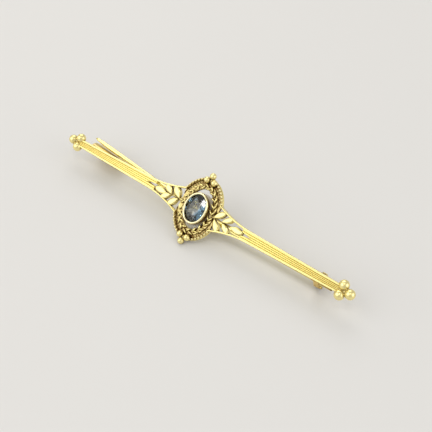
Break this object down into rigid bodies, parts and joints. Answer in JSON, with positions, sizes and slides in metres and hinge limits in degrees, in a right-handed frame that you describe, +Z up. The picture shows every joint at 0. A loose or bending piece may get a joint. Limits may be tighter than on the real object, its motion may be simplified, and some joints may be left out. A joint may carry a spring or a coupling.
{
  "type": "bar brooch",
  "caption": "Long narrow reeded gold bar brooch with a navette centre, an oval stone, leaf sprays and ball clusters, with a hinged pin and a C-shaped catch.",
  "frame": {"origin": "centre of the bounding box's base, on the surface that the brooch lies on", "axes": "+X along the bar from the catch to the hinge, +Y across the bar towards the raised side, +Z up; the brooch is tilted 41 degrees about X, as it lies by itself"},
  "size_m": [0.0556, 0.0094, 0.0083],
  "materials": {
    "gold": "polished",
    "pin_gold": "polished",
    "stone": "polished"
  },
  "bodies": {
    "brooch": {"brooch_frame": "gold", "stone": "stone", "hinge_rivet": "gold"},
    "pin": {"pin": "pin_gold"}
  },
  "joints": [
    {"name": "pin_swing", "type": "hinge", "parent": "brooch", "child": "pin", "pos_m": [0.0216, 0.00162, 0.00098], "axis": [0, -0.7547, -0.6561], "range_deg": [0, 100]}
  ]
}
